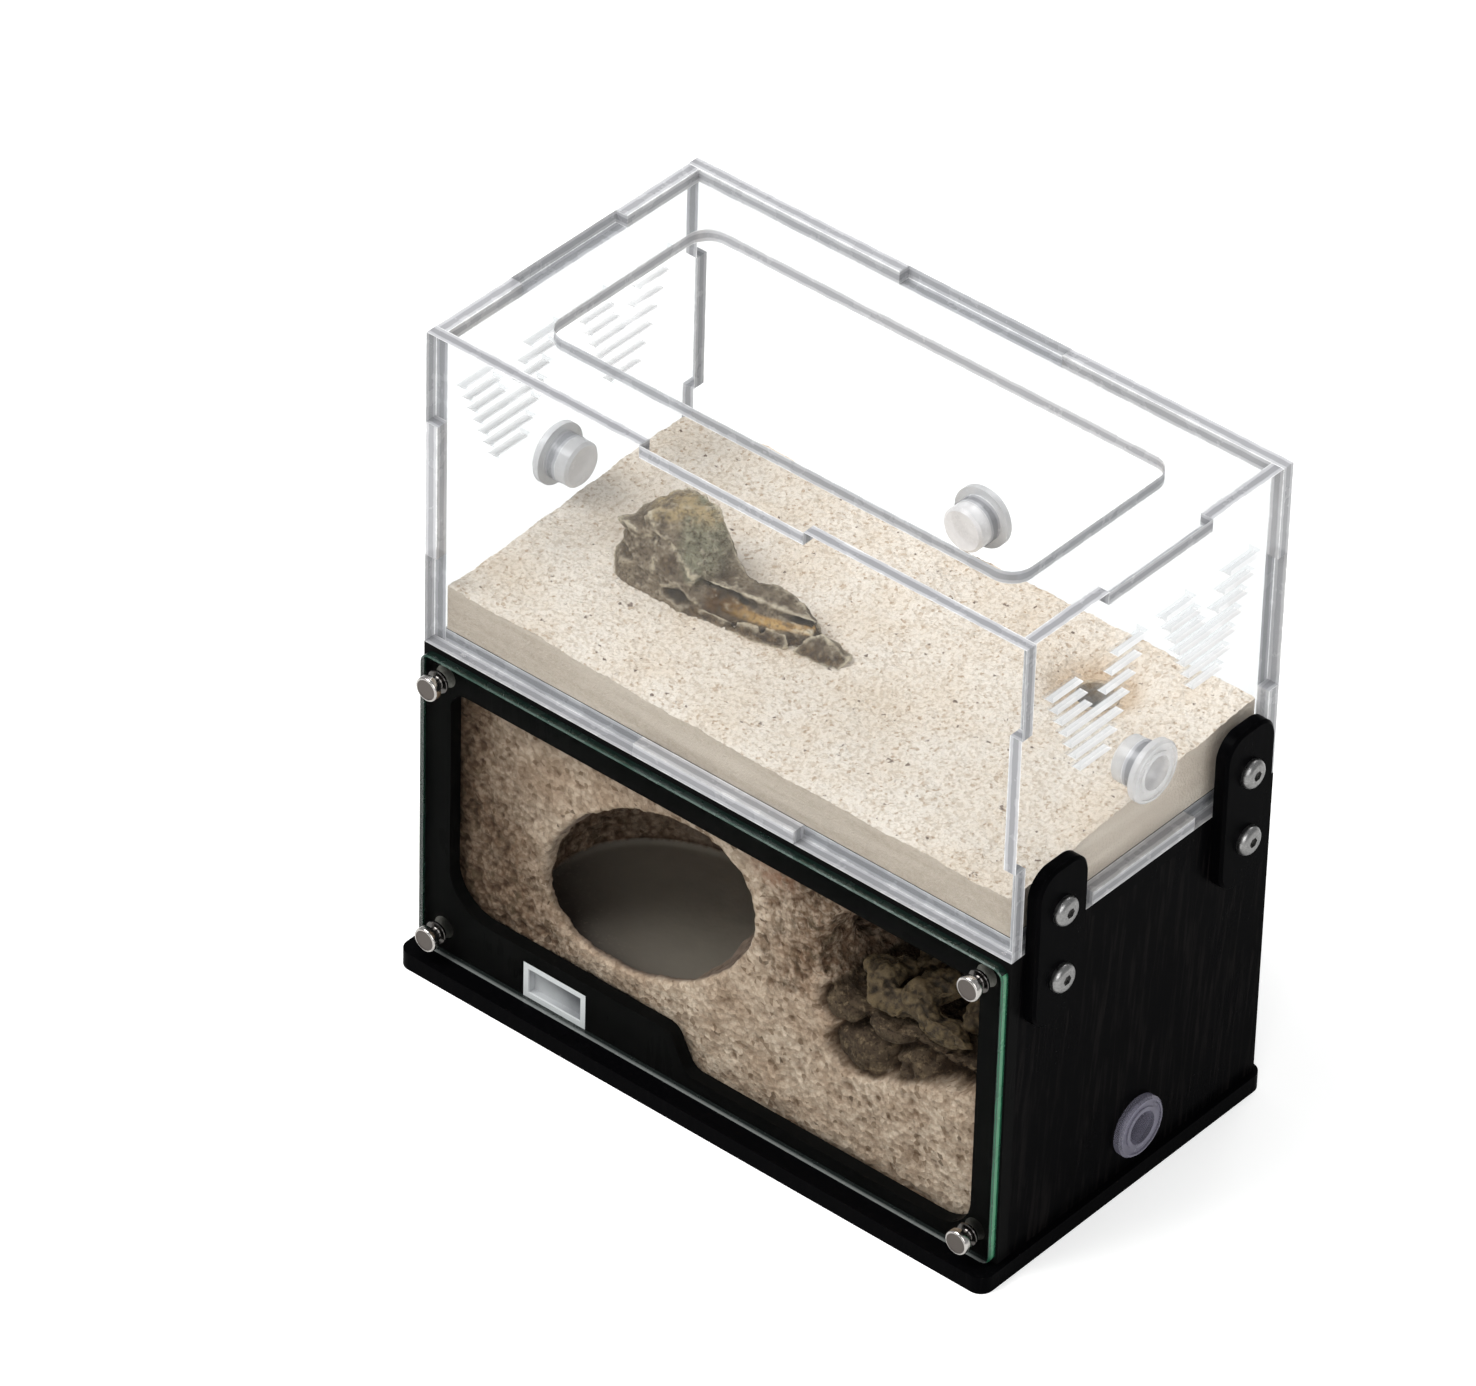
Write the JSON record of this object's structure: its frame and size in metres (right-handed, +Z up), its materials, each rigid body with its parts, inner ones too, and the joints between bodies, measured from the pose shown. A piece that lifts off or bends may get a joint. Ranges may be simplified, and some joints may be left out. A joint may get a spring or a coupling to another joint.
{
  "type": "ant habitat",
  "caption": "Stacked ant habitat: a clear vented foraging box with a sand bed on a black nest box with a magnet-held glass front and plugged ports.",
  "frame": {"origin": "on the underside of the base plate, below the middle of the two stacked boxes", "axes": "+Z up, +X along the length towards the straps, -Y towards the glass front"},
  "size_m": [0.1566, 0.0878, 0.154],
  "materials": {
    "clear_acrylic": "polished clear sheet with frosted cut edges",
    "black_acrylic": "glossy black sheet",
    "knob_steel": "nickel-plated, bright",
    "magnet_plating": "nickel-plated",
    "plug_plastic": "translucent milky plastic",
    "pane_glass": "clear float glass with greenish polished edges",
    "tank_acrylic": "clear sheet",
    "sight_acrylic": "clear with a frosted recess",
    "sand_cast": "coarse sand-textured casting",
    "nest_stone": "rough brown stone",
    "clear_tube": "clear tube",
    "loose_sand": "dry speckled sand",
    "weathered_stone": "weathered grey-green stone",
    "screw_steel": "button heads with a bright rim"
  },
  "bodies": {
    "habitat": {"base_plate": "black_acrylic", "frame_magnets": "magnet_plating", "front_frame": "black_acrylic", "nest_back_panel": "black_acrylic", "nest_landscape": "sand_cast", "nest_left_panel": "black_acrylic", "nest_right_panel": "black_acrylic", "nest_rocks": "nest_stone", "nest_top_plate": "black_acrylic", "outworld_back_wall": "clear_acrylic", "outworld_floor": "clear_acrylic", "outworld_front_wall": "clear_acrylic", "outworld_left_wall": "clear_acrylic", "outworld_right_wall": "clear_acrylic", "outworld_top_plate": "clear_acrylic", "passage_tube": "clear_tube", "sand_layer": "loose_sand", "sight_window": "sight_acrylic", "strap_back": "black_acrylic", "strap_front": "black_acrylic", "strap_screws": "screw_steel", "water_tank": "tank_acrylic"},
    "glass": {"glass_pane": "pane_glass"},
    "knob_top_left": {"knob_top_left": "knob_steel"},
    "knob_bottom_left": {"knob_bottom_left": "knob_steel"},
    "knob_top_right": {"knob_top_right": "knob_steel"},
    "knob_bottom_right": {"knob_bottom_right": "knob_steel"},
    "plug_left": {"plug_left": "plug_plastic"},
    "plug_right": {"plug_right": "plug_plastic"},
    "plug_back": {"plug_back": "plug_plastic"},
    "plug_nest": {"plug_nest": "plug_plastic"},
    "stone": {"decor_stone": "weathered_stone"}
  },
  "joints": [
    {"name": "glass_slide", "type": "slide", "parent": "habitat", "child": "glass", "axis": [0, -1, 0], "range_m": [0, 0.04]},
    {"name": "knob_top_left_pull", "type": "slide", "parent": "glass", "child": "knob_top_left", "axis": [0, -1, 0], "range_m": [0, 0.02]},
    {"name": "knob_bottom_left_pull", "type": "slide", "parent": "glass", "child": "knob_bottom_left", "axis": [0, -1, 0], "range_m": [0, 0.02]},
    {"name": "knob_top_right_pull", "type": "slide", "parent": "glass", "child": "knob_top_right", "axis": [0, -1, 0], "range_m": [0, 0.02]},
    {"name": "knob_bottom_right_pull", "type": "slide", "parent": "glass", "child": "knob_bottom_right", "axis": [0, -1, 0], "range_m": [0, 0.02]},
    {"name": "plug_left_pull", "type": "slide", "parent": "habitat", "child": "plug_left", "axis": [-1, 0, 0], "range_m": [0, 0.015]},
    {"name": "plug_right_pull", "type": "slide", "parent": "habitat", "child": "plug_right", "axis": [1, 0, 0], "range_m": [0, 0.015]},
    {"name": "plug_back_pull", "type": "slide", "parent": "habitat", "child": "plug_back", "axis": [0, 1, 0], "range_m": [0, 0.015]},
    {"name": "plug_nest_pull", "type": "slide", "parent": "habitat", "child": "plug_nest", "axis": [1, 0, 0], "range_m": [0, 0.015]},
    {"name": "stone_lift", "type": "slide", "parent": "habitat", "child": "stone", "axis": [0, 0, 1], "range_m": [0, 0.07]}
  ]
}
